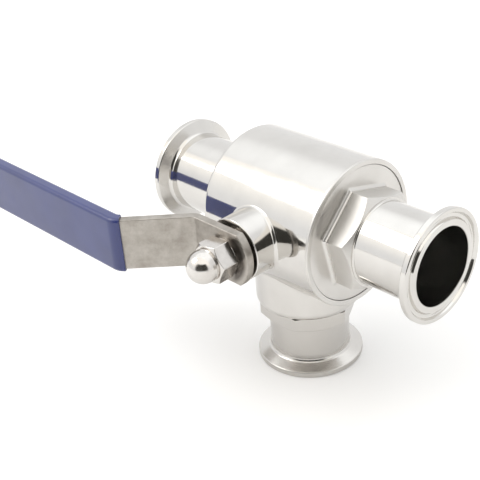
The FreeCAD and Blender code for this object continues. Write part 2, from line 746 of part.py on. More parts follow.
def make_lever():
    """Cranked lever: flat on the stem, stepped outwards by two bends, with a round short end."""
    body = new_piece("lever")
    shift = s.lever_thickness * bend_lean
    side = [
        (s.lever_toe, -lever_back), (s.lever_toe, -lever_front), (-first_bend, -lever_front),
        (-second_bend, -handle_front), (-s.lever_reach, -handle_front),
        (-s.lever_reach, -handle_back), (-(second_bend + shift), -handle_back),
        (-(first_bend + shift), -lever_back),
    ]
    sketch = outline(body, "side_outline", "XY_Plane", side)
    raise_or_cut(body, "Pad", "strip", sketch, 2 * s.lever_half_width, both_ways=True)
    inside = [side[2], side[6]]
    outside = [side[3], side[7]]
    dress(body, "Fillet", "inner_bends", s.bend_round, edges_along(ACROSS_STRIP, inside))
    outer_round = s.bend_round + s.lever_thickness
    dress(body, "Fillet", "outer_bends", outer_round, edges_along(ACROSS_STRIP, outside))
    trim_toe(body)
    tip = [(-s.lever_reach, None)]
    dress(body, "Fillet", "tip_rounds", s.tip_round, edges_along(THROUGH_STRIP, tip))
    half_flat = s.drive_half_flat + s.drive_fit
    hole_radius = s.stem_radius + s.drive_fit
    reach = root(hole_radius * hole_radius - half_flat * half_flat)
    hole = [
        (reach, -half_flat, (0, 0, 1)), (reach, half_flat),
        (-reach, half_flat, (0, 0, 1)), (-reach, -half_flat),
    ]
    sketch = outline(body, "drive_hole_outline", "XZ_Plane", hole)
    raise_or_cut(body, "Pocket", "drive_hole", sketch, handle_front, reverse=True)
    return body


def trim_toe(body):
    """Round the lever's short end to an arc that falls back by toe_fall at both its corners."""
    width = s.lever_half_width
    toe_radius = (width * width + s.toe_fall * s.toe_fall) / (2 * s.toe_fall)
    corner = s.lever_toe - s.toe_fall
    beyond = width + s.lead_in
    past = s.lever_toe + s.lead_in
    waste = [
        (corner, -width, (s.lever_toe - toe_radius, 0, 1)), (corner, width), (corner, beyond),
        (past, beyond), (past, -beyond), (corner, -beyond),
    ]
    sketch = outline(body, "toe_outline", "XZ_Plane", waste)
    raise_or_cut(body, "Pocket", "round_toe", sketch, handle_front, reverse=True)


def make_sleeve(lever):
    """Vinyl sleeve, closed at its tip: the lever's own form with an even skin, less the lever."""
    form = new_piece("sleeve_form")
    pieces.remove(form)
    skin = s.sleeve_wall
    outer_round = s.bend_round + s.lever_thickness + skin
    lead = (outer_round - skin) * bend_lean + s.sleeve_lead
    lead_x = -second_bend + lead * cosine(s.lever_bend_angle)
    lead_y = -handle_front + lead * sine(s.lever_bend_angle)
    front_x = lead_x + skin * sine(s.lever_bend_angle)
    front_y = lead_y - skin * cosine(s.lever_bend_angle)
    behind = s.lever_thickness + skin
    back_x = lead_x - behind * sine(s.lever_bend_angle)
    back_y = lead_y + behind * cosine(s.lever_bend_angle)
    tip = -(s.lever_reach + skin)
    side = [
        (front_x, front_y), (-second_bend + skin * bend_lean, -(handle_front + skin)),
        (tip, -(handle_front + skin)), (tip, -(handle_back - skin)),
        (-(second_bend + behind * bend_lean), -(handle_back - skin)), (back_x, back_y),
    ]
    sketch = outline(form, "side_outline", "XY_Plane", side)
    raise_or_cut(form, "Pad", "strip", sketch, 2 * (s.lever_half_width + skin), both_ways=True)
    dress(form, "Fillet", "inner_bend", s.bend_round - skin, edges_along(ACROSS_STRIP, [side[4]]))
    dress(form, "Fillet", "outer_bend", outer_round, edges_along(ACROSS_STRIP, [side[1]]))
    dress(form, "Fillet", "tip_rounds", s.tip_round + skin, edges_along(THROUGH_STRIP, [(tip, None)]))
    dress(form, "Fillet", "soft_edges", s.sleeve_round, long_edges(back_x, back_y, front_x, front_y))
    sleeve = doc.addObject("Part::Cut", "lever_sleeve")
    sleeve.Label = "lever_sleeve"
    sleeve.Base = form
    sleeve.Tool = lever
    pieces.append(sleeve)


def long_edges(back_x, back_y, front_x, front_y):
    """Test for the sleeve's edges on its two flat sides, apart from those of its open end."""
    half_width = number(s.lever_half_width + s.sleeve_wall)
    mouth = FreeCAD.Vector(number(back_x) - number(front_x), number(back_y) - number(front_y), 0)

    def wanted(edge):
        ends = [vertex.Point for vertex in edge.Vertexes]
        on_side = all(abs(abs(end.z) - half_width) < NEAR for end in ends)
        flat = abs(ends[0].z - ends[-1].z) < NEAR
        slant = (ends[0] - ends[-1]).cross(mouth).Length
        at_mouth = edge.Length - mouth.Length < NEAR and slant < NEAR * mouth.Length
        round_tip = abs(edge.tangentAt(edge.FirstParameter).z) > NEAR
        return on_side and flat and not at_mouth and not round_tip

    return wanted


def make_spring_washer():
    """Split ring that keeps the packing pressed, between gland and lever."""
    inner = s.stem_radius + s.stem_running
    outer = packing_radius - s.packing_fit
    body = make_ring("spring_washer", FORWARD, inner, outer, gland_end, lever_back)
    half = s.spring_split / 2
    lean = s.spring_thickness * tangent(s.spring_slant_angle) / 2
    slit = [
        (-half - lean, gland_end), (half - lean, gland_end),
        (half + lean, lever_back), (-half + lean, lever_back),
    ]
    sketch = outline(body, "slit_outline", "YZ_Plane", slit)
    raise_or_cut(body, "Pocket", "slit", sketch, outer + s.lead_in)


def make_domed_nut():
    """Nut with a bevelled hexagon, a grooved neck, a closed dome and a blind hole."""
    body = new_piece("domed_nut", FORWARD)
    flats = hexagon(body, "hexagon_outline", s.nut_half_flats, s.nut_angle, washer_end)
    raise_or_cut(body, "Pad", "hexagon", flats, s.nut_hex_height)
    bevel_hexagon(body, "hexagon_bevel", s.nut_half_flats, nut_hex_end, s.hex_bevel_angle)
    groove_radius = s.dome_radius - s.neck_groove_depth
    neck_start = nut_hex_end + s.neck_groove_width
    dome = [
        (0, nut_hex_end), (groove_radius, nut_hex_end), (groove_radius, neck_start),
        (s.dome_radius, neck_start), (s.dome_radius, dome_centre, (0, dome_centre, 1)),
        (0, dome_centre + s.dome_radius),
    ]
    turn(body, "Revolution", "dome", dome)
    hole_radius = s.screw_radius + s.screw_fit
    hole_end = lever_front + s.screw_stand + s.lead_in
    hole = [
        (0, washer_end), (hole_radius, washer_end), (hole_radius, hole_end),
        (0, hole_end + hole_radius * tangent(s.hex_bevel_angle)),
    ]
    turn(body, "Groove", "blind_hole", hole)


make_valve_body()
make_left_port()
make_run_end_cap()
make_drop_fitting()
make_ball()
for seat_name, seat_facing in (("right", RIGHT), ("left", LEFT), ("lower", DOWN)):
    make_seat(f"seat_{seat_name}", seat_facing)
make_ring("end_cap_seal", RIGHT, cavity_radius + s.seat_fit, ledge_radius - s.seat_fit,
          ledge_place, ledge_place + s.gasket_thickness)
make_ring("drop_fitting_seal", DOWN, relief_radius, shank_radius - s.seat_fit,
          socket_floor, socket_floor + s.gasket_thickness)
make_stem()
make_ring("thrust_washer", FORWARD, s.stem_radius + s.stem_running, s.collar_radius, collar_end, thrust_end)
make_packing()
make_ring("packing_gland", FORWARD, s.stem_radius + s.stem_running, packing_radius - s.packing_fit,
          gland_start, gland_end)
make_spring_washer()
make_sleeve(make_lever())
make_ring("flat_washer", FORWARD, s.screw_radius + s.screw_fit, s.washer_radius, lever_front, washer_end)
make_domed_nut()

doc.recompute()
failed = [item.Label for item in doc.Objects if {"Invalid", "Error"} & set(item.State)]
if failed:
    raise ValueError(f"failed: {failed}")
os.makedirs("parts", exist_ok=True)
for piece in pieces:
    if piece.Shape.isNull() or not piece.Shape.isValid():
        raise ValueError(f"{piece.Label} has no valid shape")
for piece in pieces:
    piece.Shape.exportStep(f"parts/{piece.Label}.step")
    print(f"{piece.Label}: {len(piece.Shape.Solids)} solid, {piece.Shape.Volume / 1000:.2f} cm3")
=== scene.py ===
"""Looks of the three-way ball valve: finely shaped pieces, finishes, light and camera."""

import math

import bpy
import numpy as np
from mathutils import Matrix, Vector


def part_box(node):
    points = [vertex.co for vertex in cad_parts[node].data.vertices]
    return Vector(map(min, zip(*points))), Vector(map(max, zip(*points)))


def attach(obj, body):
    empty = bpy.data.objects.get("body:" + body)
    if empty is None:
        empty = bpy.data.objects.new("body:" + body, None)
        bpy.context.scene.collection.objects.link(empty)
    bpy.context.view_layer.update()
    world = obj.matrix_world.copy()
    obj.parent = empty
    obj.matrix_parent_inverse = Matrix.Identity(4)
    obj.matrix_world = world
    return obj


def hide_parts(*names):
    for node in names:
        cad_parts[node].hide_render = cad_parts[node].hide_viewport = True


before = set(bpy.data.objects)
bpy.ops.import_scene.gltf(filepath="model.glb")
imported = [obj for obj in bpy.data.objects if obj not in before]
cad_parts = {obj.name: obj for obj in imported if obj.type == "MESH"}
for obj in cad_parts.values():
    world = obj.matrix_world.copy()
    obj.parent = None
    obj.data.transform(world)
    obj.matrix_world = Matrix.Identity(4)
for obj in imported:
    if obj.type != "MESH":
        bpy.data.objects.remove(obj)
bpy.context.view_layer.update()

MM = 0.001
X_AXIS, Y_AXIS, Z_AXIS = np.eye(3)
# Most degrees between two rows of an arc.
FINE = 7.5


def low_mm(node):
    """Lowest corner of a CAD piece, in mm."""
    return np.array(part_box(node)[0]) / MM


def high_mm(node):
    """Highest corner of a CAD piece, in mm."""
    return np.array(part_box(node)[1]) / MM


# The valve centre is where the run, the lower branch and the stem meet.
centre_height = (low_mm("left_port_tube")[2] + high_mm("left_port_tube")[2]) / 2
CENTRE = np.array([0.0, 0.0, centre_height])

# Distances from the valve centre, read from the frame, in mm.
run_reach = high_mm("run_end_cap")[0]
drop_reach = centre_height - low_mm("drop_fitting")[2]
flange_radius = high_mm("left_port_tube")[1]
barrel_radius = high_mm("valve_body")[1]
barrel_half = high_mm("valve_body")[0]
boss_end = -low_mm("valve_body")[1]
branch_end = centre_height - low_mm("valve_body")[2]
disc_radius = high_mm("run_end_cap")[1]
cap_start = low_mm("run_end_cap")[0]
shank_start = centre_height - high_mm("drop_fitting")[2]
lever_back = -high_mm("lever")[1]
handle_front = -low_mm("lever")[1]
lever_toe = high_mm("lever")[0]
lever_reach = -low_mm("lever")[0]
lever_half_width = high_mm("lever")[2] - centre_height
sleeve_half_width = high_mm("lever_sleeve")[2] - centre_height
nut_start = -high_mm("domed_nut")[1]
nut_end = -low_mm("domed_nut")[1]
screw_end = -low_mm("stem")[1]
washer_radius = high_mm("flat_washer")[0]
spring_radius = high_mm("spring_washer")[0]
spring_start = -high_mm("spring_washer")[1]

# Ports and ferrules.
bore_radius = 17.4
bore_lip = 0.3
tube_radius = bore_radius + 1.65
rim_thickness = 2.85
rim_round = 0.6
flange_slope = math.radians(20.0)
flange_back = (flange_radius - tube_radius) * math.tan(flange_slope)
flange_root = 2.0
groove_middle = bore_radius + 4.4
groove_depth = 1.6
groove_floor = 0.8
groove_floor_round = 0.6
groove_mouth = 1.6
groove_mouth_round = 0.35
weld_leg = 1.2
weld_edge = 0.15
weld_hollow = 0.8 * weld_leg

# Barrel, with its cavity, its screwed disc and its two outlets.
cavity_radius = barrel_radius - 5.5
cavity_left = 24.0
seat_floor = barrel_half - 4.2
pocket_radius = 22.35
pocket_mouth = seat_floor - 0.15
ledge_place = cap_start - 1.0
ledge_radius = cavity_radius + 2.0
opening_radius = ledge_radius + 1.15
opening_edge = 0.3
disc_back = barrel_half - 3.0
disc_crown = 29.0
disc_curve = 18.0
disc_fall = 0.5
disc_edge = 0.2
barrel_end_round = 2.6
barrel_rim_round = 0.5
branch_radius = 24.8
branch_round = 3.6
branch_level = branch_end - branch_round - 0.5
shank_radius = 20.6
socket_floor = shank_start - 1.0
socket_edge = 0.2
socket_bore = bore_radius + 0.3
boss_radius = 14.5
boss_round = 0.5
boss_level = boss_end - 2 * boss_round
outlet_crease = 1.6
hidden_crease = 0.1
packing_radius = 10.2
packing_start = 35.68
packing_edge = 0.4
neck_radius = 7.05
thrust_end = 33.08
collar_bore = 9.6
collar_mouth = thrust_end - 1.0

# Hexagons and screwed ends.
hex_half_flats = tube_radius + 1.45
hex_bevel = math.radians(30.0)
hex_bevel_inset = 0.35
hex_edge = 0.35
hex_tube_root = 0.8
cap_hex_height = 12.5
cap_hex_turn = 14.5
cap_bevel = math.radians(38.0)
cap_foot_round = 1.8
cap_foot_margin = 0.5
drop_hex_height = 7.8
drop_hex_turn = 2.5
relief_depth = 0.35
relief_width = 0.6
relief_round = 0.1
shoulder_radius = hex_half_flats - 0.6
seal_depth = 1.0
thread_relief = 1.6
thread_fit = 0.05
thread_lead = 0.5

# Lever, sleeve and the parts of the stem's end.
lever_thickness = 4.0
lever_edge = 0.45
toe_fall = 5.5
toe_corner = 0.7
first_bend = 18.5
lever_bend = math.radians(45.0)
bend_round = 3.0
tip_round = 9.0
sleeve_round = 2.0
sleeve_fit = 0.02
sleeve_lead = 0.3
lip_depth = 0.6
washer_thickness = 1.1
washer_back_edge = 0.25
washer_front_edge = 0.35
spring_thickness = 1.9
spring_back_edge = 0.25
spring_front_edge = 0.3
spring_split = 1.2
spring_slant = math.radians(20.0)
hole_edge = 0.2
screw_hole = 5.1
screw_room = 0.5
nut_half_flats = 8.5
nut_hex_height = 8.9
nut_turn = 4.0
neck_groove_width = 0.8
neck_groove_depth = 0.5
neck_groove_corner = 0.15
neck_edge = 0.2
dome_radius = 7.4


def new_object(name, data):
    """Object of the scene that holds this mesh, lamp or camera."""
    made = bpy.data.objects.new(name, data)
    bpy.context.scene.collection.objects.link(made)
    return made


class Shell:
    """Patches of one closed piece, each turned the way of its normals.

    Points that coincide are made one, and triangles without an area are left out.
    """

    def __init__(self):
        self.points = []
        self.normals = []
        self.triangles = []
        self.count = 0

    def add(self, points, normals, closed=False):
        """Grid of points in mm about the valve's centre; closed joins the last column to the first."""
        rows, columns = points.shape[:2]
        number = self.count + np.arange(rows * columns).reshape(rows, columns)
        if closed:
            number = np.hstack([number, number[:, :1]])
        a, b = number[:-1, :-1].ravel(), number[1:, :-1].ravel()
        c, d = number[1:, 1:].ravel(), number[:-1, 1:].ravel()
        triangles = np.concatenate([np.stack([a, b, c], 1), np.stack([a, c, d], 1)])
        flat_points, flat_normals = points.reshape(-1, 3), normals.reshape(-1, 3)
        first, second, third = (flat_points[triangles[:, k] - self.count] for k in range(3))
        facing = np.cross(second - first, third - first)
        if np.sum(facing * flat_normals[triangles - self.count].sum(1)) < 0:
            triangles = triangles[:, ::-1]
        self.triangles.append(triangles)
        self.points.append(flat_points)
        self.normals.append(flat_normals)
        self.count += rows * columns

    def revolve(self, turned, corners):
        """Surface of revolution under a rounded outline of corners (radius, along, rounding)."""
        points, normals = rounded(corners)
        self.add(
            turned.place(points[:, :1], points[:, 1:]), turned.place(normals[:, :1], normals[:, 1:]),
            closed=True,
        )

    def build(self, name, body, finish, replaces):
        """Makes the piece on its body, with its finish, in place of its CAD pieces."""
        points = np.concatenate(self.points)
        normals = np.concatenate(self.normals)
        normals = normals / np.maximum(np.linalg.norm(normals, axis=1, keepdims=True), 1e-9)
        triangles = np.concatenate(self.triangles)
        places, welded = np.unique(np.round(points, 4), axis=0, return_inverse=True)
        corners = welded.ravel()[triangles]
        whole = (corners != np.roll(corners, 1, axis=1)).all(axis=1)
        mesh = bpy.data.meshes.new(name)
        mesh.from_pydata((places + CENTRE) * MM, [], corners[whole])
        mesh.shade_smooth()
        mesh.normals_split_custom_set(normals[triangles[whole]].reshape(-1, 3))
        mesh.materials.append(finishes[finish])
        piece = new_object(name, mesh)
        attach(piece, body)
        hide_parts(*replaces)


def rounded(corners, step=FINE):
    """Outline through corners (a, b, radius): lines with an arc tangent to both at each corner.

    Gives the points and their normals, on the right-hand side of the way it runs. The arc about a
    centre c of radius r is c + r·(cos t, sin t), cut off the corner at r·tan(half the turn).
    """
    data = np.array([(c + (0,))[:3] for c in corners], float)
    places, radii = data[:, :2], data[:, 2]
    runs = np.diff(places, axis=0)
    headings = runs / np.linalg.norm(runs, axis=1, keepdims=True)
    right = headings[:, ::-1] * [1, -1]
    points, normals = [places[:1]], [right[:1]]
    for corner in range(1, len(places) - 1):
        before, after = headings[corner - 1], headings[corner]
        turn = math.atan2(before[0] * after[1] - before[1] * after[0], before @ after)
        count = max(3, math.ceil(abs(math.degrees(turn)) / step)) + 1 if radii[corner] else 2
        start_angle = math.atan2(right[corner - 1][1], right[corner - 1][0])
        angles = start_angle + np.linspace(0, turn, count)
        spokes = np.stack([np.cos(angles), np.sin(angles)], 1)
        side = math.copysign(radii[corner], turn)
        start = places[corner] - before * radii[corner] * abs(math.tan(turn / 2))
        middle = start - side * spokes[0]
        points.append(middle + side * spokes)
        normals.append(spokes)
    points.append(places[-1:])
    normals.append(right[-1:])
    return np.concatenate(points), np.concatenate(normals)


class Turned:
    """Coordinates round an axis: a point is along·axis + radius·(cos φ·first + sin φ·second)."""

    def __init__(self, axis, first, angles):
        self.axis = np.array(axis, float)
        self.first = np.array(first, float)
        self.second = np.cross(self.axis, self.first)
        self.angles = np.radians(angles)

    def spoke(self, angles):
        """Unit vectors away from the axis."""
        angles = np.asarray(angles)[..., None]
        return np.cos(angles) * self.first + np.sin(angles) * self.second

    def place(self, radius, along):
        """Points at (radius, along), for every angle."""
        radius, along = (np.asarray(value, float)[..., None] for value in (radius, along))
        return along * self.axis + radius * self.spoke(self.angles)


def even_angles(count):
    """So many angles in degrees, evenly once round."""
    return np.arange(count) * 360.0 / count


def hexagon_angles(turn, per_flat=24, per_corner=6):
    """Angles for a hexagon's rows: even over each flat, dense over each rounded corner."""
    beside = 1.6
    corner = np.linspace(-beside, beside, per_corner + 1)
    flat = np.linspace(beside, 60 - beside, per_flat + 1)[1:-1]
    sector = np.concatenate([corner, flat])
    return turn + np.concatenate([sector + 60.0 * n for n in range(6)])


def hexagon_outline(angles, half_flats, turn):
    """Radius and facing of a hexagon with rounded corners, at the given angles.

    On a flat the radius is half_flats / cos(angle from the flat's middle). At a corner it is the far
    hit of the ray on the rounding circle: c·cos(e) + sqrt(r² - c²·sin²(e)), with e from the corner.
    """
    sector = math.radians(60)
    from_flat = (angles - math.radians(turn)) % sector - sector / 2
    reach = (half_flats - hex_edge) / math.cos(sector / 2)
    from_corner = sector / 2 - np.abs(from_flat)
    flat_end = (half_flats - hex_edge) * math.tan(sector / 2)
    on_flat = half_flats * np.tan(np.abs(from_flat)) <= flat_end
    miss = np.clip(reach * np.sin(from_corner) / hex_edge, -1, 1)
    at_corner = reach * np.cos(from_corner) + hex_edge * np.sqrt(1 - miss**2)
    corner = angles + np.sign(from_flat) * from_corner
    radius = np.where(on_flat, half_flats / np.cos(from_flat), at_corner)
    facing = np.where(on_flat, angles - from_flat, corner - np.sign(from_flat) * np.arcsin(miss))
    return radius, facing


def hexagon_patch(shell, turned, half_flats, turn, base, end, bevel, hollow, foot_radius):
    """A hexagon from its end face to its base, with the turned bevel that trims its corners.

    The bevel is a cone: along = end - (radius - small circle)·tan(bevel). Where it meets a flat it
    leaves the curved edge, softened by hex_edge. With a hollow the hexagon stands on a floor: over
    t = 0 to 90 degrees it widens by hollow·(1 - cos t) at a height of hollow·(1 - sin t). Without one
    it ends in a shoulder. Gives the radius at which the end face goes on.
    """
    radius, facing = hexagon_outline(turned.angles, half_flats, turn)
    small = half_flats - hex_bevel_inset
    slope = math.tan(bevel)
    soft = hex_edge / 2
    level = np.ones_like(radius)
    flat = turned.spoke(facing)
    ahead = turned.axis + 0 * flat
    cone = math.cos(bevel) * ahead + math.sin(bevel) * turned.spoke(turned.angles)
    drop = (radius - small) * slope

    rows = [
        (level * (small - soft), level * end, ahead),
        (level * (small + soft), level * (end - soft * slope), cone),
        (radius - soft, end - drop + soft * slope, cone),
        (radius - soft / 4, end - drop - soft / 4, cone + flat),
        (radius, end - drop - soft, flat),
    ]
    if hollow:
        for t in np.radians(np.linspace(0, 90, 13)):
            widened = half_flats + hollow * (1 - math.cos(t))
            wide, side = hexagon_outline(turned.angles, widened, turn)
            height = base + hollow * (1 - math.sin(t))
            normal = math.cos(t) * turned.spoke(side) + math.sin(t) * ahead
            rows.append((wide, level * height, normal))
        rows.append((level * foot_radius, level * base, ahead))
    else:
        rows += [(radius, level * (base + soft), flat), (radius - soft, level * base, -ahead)]
        rows.append((level * foot_radius, level * base, -ahead))
    points = np.stack([turned.place(around, along) for around, along, _ in rows])
    shell.add(points, np.stack([normal for _, _, normal in rows]), closed=True)
    return small - soft


def ferrule(reach, start, root):
    """Corners (radius, along, rounding) of a tube and its ferrule, from the start to the bore."""
    back = reach - rim_thickness
    floor = reach - groove_depth
    return [
        (tube_radius, start, root),
        (tube_radius, back - flange_back, flange_root),
        (flange_radius, back, rim_round),
        (flange_radius, reach, rim_round),
        (groove_middle + groove_mouth, reach, groove_mouth_round),
        (groove_middle + groove_floor, floor, groove_floor_round),
        (groove_middle - groove_floor, floor, groove_floor_round),
        (groove_middle - groove_mouth, reach, groove_mouth_round),
        (bore_radius, reach, bore_lip),
    ]


class Tee:
    """Round barrel along X with outlets at right angles to it, as one smooth surface.

    A place on the barrel is (x, φ), with φ = 0 towards -Y and 90 degrees towards -Z. Round each
    outlet the patch runs in straight lines, in x and φ, from the outlet's crease to a rectangle.
    """

    def __init__(self, radius, left, right, inward=False):
        self.radius = radius
        self.left, self.right = left, right
        self.along = np.linspace(left, right, 63)
        self.sign = -1.0 if inward else 1.0

    def out(self, angle):
        """Unit vector at φ, away from the barrel's axis."""
        angle = np.asarray(angle)[..., None]
        return -np.cos(angle) * Y_AXIS - np.sin(angle) * Z_AXIS

    def on_barrel(self, x, angle):
        """Points of the barrel and their normals."""
        x, angle = np.broadcast_arrays(x, angle)
        facing = self.out(angle)
        return x[..., None] * X_AXIS + self.radius * facing, self.sign * facing

    def border(self, rows):
        """Border of an outlet's patch, once round: x and the angle from the outlet's middle."""
        level, upright = np.ones(len(self.along) - 1), np.ones(len(rows) - 1)
        x = [self.right * upright, self.along[:0:-1], self.left * upright, self.along[:-1]]
        angle = [rows[:-1], rows[-1] * level, rows[:0:-1], rows[0] * level]
        return np.concatenate(x), np.concatenate(angle)

    def outlet(self, shell, mouth, radius, crease, level, rows=10):
        """Patch, crease and straight wall of one outlet, out to the given level.

        The crease is what a ball of that radius leaves when it rolls in the corner: its centre is
        at radius + crease from the outlet's axis and at barrel radius + crease from the run's.
        """
        x_border, angle_border = self.border(mouth.rows)
        cosine, sine = np.cos(mouth.turn), np.sin(mouth.turn)
        far = self.radius + crease
        x, side = (radius + crease) * cosine, (radius + crease) * sine
        depth = np.sqrt(far**2 - side**2)
        angle = np.arcsin(side / far)
        share = np.linspace(0, 1, rows + 1)[:, None]
        shell.add(*self.on_barrel(
            x + share * (x_border - x), mouth.middle + angle + share * (angle_border - angle)
        ), closed=True)

        ahead = self.out(mouth.middle)
        across = math.sin(mouth.middle) * Y_AXIS - math.cos(mouth.middle) * Z_AXIS

        def local(a, b, c):
            return a[..., None] * X_AXIS + b[..., None] * across + c[..., None] * ahead

        ball = local(x, side, depth)
        to_wall = local(-cosine, -sine, 0 * sine)
        to_barrel = local(0 * side, -side, -depth) / far
        swing = np.arccos(np.clip((to_wall * to_barrel).sum(-1, keepdims=True), -1, 1))
        share = share[..., None]
        spokes = np.sin((1 - share) * swing) * to_barrel + np.sin(share * swing) * to_wall
        spokes = spokes / np.sin(swing)
        shell.add(ball + crease * spokes, -self.sign * spokes, closed=True)

        wall = local(radius * cosine, radius * sine, depth)
        flat = local(radius * cosine, radius * sine, 0 * sine + level)
        outward = local(cosine, sine, 0 * sine) * self.sign
        shell.add(np.stack([wall, flat]), np.stack([outward, outward]), closed=True)


class Mouth:
    """Where an outlet leaves a tee: its middle and its rows, which are two degrees apart.

    Its turn is the angle about the outlet's axis at which each place of the patch's border lies.
    """

    def __init__(self, tee, middle, half):
        self.middle = math.radians(middle)
        self.degrees = middle + np.linspace(-half, half, half + 1)
        self.rows = np.linspace(-math.radians(half), math.radians(half), half + 1)
        x, angle = tee.border(self.rows)
        self.turn = np.arctan2(tee.radius * angle, x)


def make_valve_body():
    """Barrel, stem boss and lower branch, with the ball cavity and the bores inside."""
    shell = Shell()
    outside = Tee(barrel_radius, barrel_end_round - barrel_half, barrel_half - barrel_rim_round)
    inside = Tee(cavity_radius, hidden_crease - cavity_left, ledge_place - hidden_crease, inward=True)
    boss, branch = Mouth(outside, 0.0, 34), Mouth(outside, 90.0, 56)
    outside.outlet(shell, boss, boss_radius, outlet_crease, boss_level)
    outside.outlet(shell, branch, branch_radius, outlet_crease, branch_level)
    inside.outlet(shell, boss, collar_bore, hidden_crease, collar_mouth, rows=3)
    inside.outlet(shell, branch, pocket_radius, hidden_crease, pocket_mouth, rows=3)

    # The rest of the barrel goes from the branch's patch round the back and the top to the boss's.
    back = np.linspace(branch.degrees[-1], boss.degrees[0] + 360, 91)
    for tee in (outside, inside):
        shell.add(*tee.on_barrel(tee.along[:, None], np.radians(back)))

    # Round X, the angle runs from -Y towards -Z.
    around = np.concatenate([boss.degrees[:-1], branch.degrees[:-1], back[:-1]])
    run = Turned(X_AXIS, -Y_AXIS, around)
    shell.revolve(run, [
        (cavity_radius, inside.left), (cavity_radius, -cavity_left), (pocket_radius, -cavity_left),
        (pocket_radius, -seat_floor), (bore_radius, -seat_floor), (bore_radius, -barrel_half),
        (barrel_radius, -barrel_half, barrel_end_round), (barrel_radius, outside.left),
    ])
    shell.revolve(run, [
        (barrel_radius, outside.right), (barrel_radius, barrel_half, barrel_rim_round),
        (opening_radius, barrel_half, opening_edge), (opening_radius, disc_back),
        (ledge_radius, disc_back), (ledge_radius, ledge_place),
        (cavity_radius, ledge_place), (cavity_radius, inside.right),
    ])
    shell.revolve(Turned(-Y_AXIS, X_AXIS, np.degrees(-boss.turn)), [
        (boss_radius, boss_level), (boss_radius, boss_end, boss_round),
        (packing_radius, boss_end, packing_edge), (packing_radius, packing_start),
        (neck_radius, packing_start), (neck_radius, thrust_end),
        (collar_bore, thrust_end), (collar_bore, collar_mouth),
    ])
    shell.revolve(Turned(-Z_AXIS, X_AXIS, np.degrees(-branch.turn)), [
        (branch_radius, branch_level), (branch_radius, branch_end, branch_round),
        (shank_radius, branch_end, socket_edge), (shank_radius, socket_floor),
        (socket_bore, socket_floor), (socket_bore, seat_floor),
        (pocket_radius, seat_floor), (pocket_radius, pocket_mouth),
    ])
    shell.build("body_shell", "housing", "polished_steel", ["valve_body"])


def make_left_port():
    """Tube and ferrule welded to the barrel's closed end."""
    shell = Shell()
    weld_radius, weld_top = tube_radius + weld_leg, barrel_half + weld_edge
    shell.revolve(Turned(-X_AXIS, Y_AXIS, even_angles(192)), [
        (bore_radius, barrel_half), (weld_radius, barrel_half), (weld_radius, weld_top),
        *ferrule(run_reach, weld_top, weld_hollow),
        (bore_radius, barrel_half),
    ])
    shell.build("left_port_shell", "housing", "polished_steel", ["left_port_tube"])


def make_end_cap():
    """Right port: screwed disc flush with the barrel, hexagon, tube and ferrule."""
    shell = Shell()
    turned = Turned(X_AXIS, -Z_AXIS, hexagon_angles(cap_hex_turn))
    hex_end = barrel_half + cap_hex_height
    face = (hex_half_flats + cap_foot_round) / math.cos(math.radians(30)) + cap_foot_margin
    small = hexagon_patch(
        shell, turned, hex_half_flats, cap_hex_turn, barrel_half, hex_end, cap_bevel,
        cap_foot_round, face,
    )
    skirt_radius = ledge_radius - thread_fit
    shell.revolve(turned, [
        (small, hex_end),
        *ferrule(run_reach, hex_end, hex_tube_root),
        (bore_radius, seat_floor), (pocket_radius, seat_floor), (pocket_radius, cap_start),
        (skirt_radius, cap_start, thread_lead), (skirt_radius, disc_back), (disc_radius, disc_back),
        (disc_radius, barrel_half - disc_fall, disc_edge), (disc_crown, barrel_half, disc_curve),
        (face, barrel_half),
    ])
    shell.build("end_cap_shell", "housing", "polished_steel", ["run_end_cap"])


def make_drop_port():
    """Lower port: screwed shank, hexagon, grooved short tube and ferrule."""
    shell = Shell()
    turned = Turned(-Z_AXIS, X_AXIS, hexagon_angles(drop_hex_turn))
    hex_end = branch_end + drop_hex_height
    small = hexagon_patch(
        shell, turned, hex_half_flats, drop_hex_turn, branch_end, hex_end, hex_bevel,
        0, shoulder_radius,
    )
    neck = shank_radius - thread_fit
    relief, relief_end = tube_radius - relief_depth, hex_end + relief_width
    shell.revolve(turned, [
        (small, hex_end), (relief, hex_end), (relief, relief_end),
        *ferrule(drop_reach, relief_end, relief_round),
        (bore_radius, shank_start), (neck, shank_start, thread_lead),
        (neck, branch_end - thread_relief), (shoulder_radius, branch_end - seal_depth),
        (shoulder_radius, branch_end),
    ])
    shell.build("drop_port_shell", "housing", "polished_steel", ["drop_fitting"])


def make_domed_nut():
    """Cap nut: bevelled hexagon, grooved neck, dome and blind hole.

    The dome is dome_radius·(cos rise, sin rise) about its centre, which lies on the nut's axis.
    """
    shell = Shell()
    turned = Turned(-Y_AXIS, X_AXIS, hexagon_angles(nut_turn, 12, 4))
    hex_end = nut_start + nut_hex_height
    centre = nut_end - dome_radius
    small = hexagon_patch(
        shell, turned, nut_half_flats, nut_turn, nut_start, hex_end, hex_bevel, 0, screw_hole
    )
    groove, neck_start = dome_radius - neck_groove_depth, hex_end + neck_groove_width
    shell.revolve(turned, [
        (small, hex_end), (groove, hex_end, neck_edge), (groove, neck_start, neck_groove_corner),
        (dome_radius, neck_start, neck_edge), (dome_radius, centre),
    ])
    rise = np.radians(np.linspace(0, 90, 25))[:, None]
    reach, height = dome_radius * np.cos(rise), dome_radius * np.sin(rise)
    shell.add(turned.place(reach, centre + height), turned.place(reach, height), closed=True)
    hole_end = screw_end + screw_room
    shell.revolve(turned, [
        (0, hole_end + screw_hole * math.tan(hex_bevel)), (screw_hole, hole_end),
        (screw_hole, nut_start),
    ])
    shell.build("domed_nut_shell", "stem_and_lever", "turned_steel", ["domed_nut"])


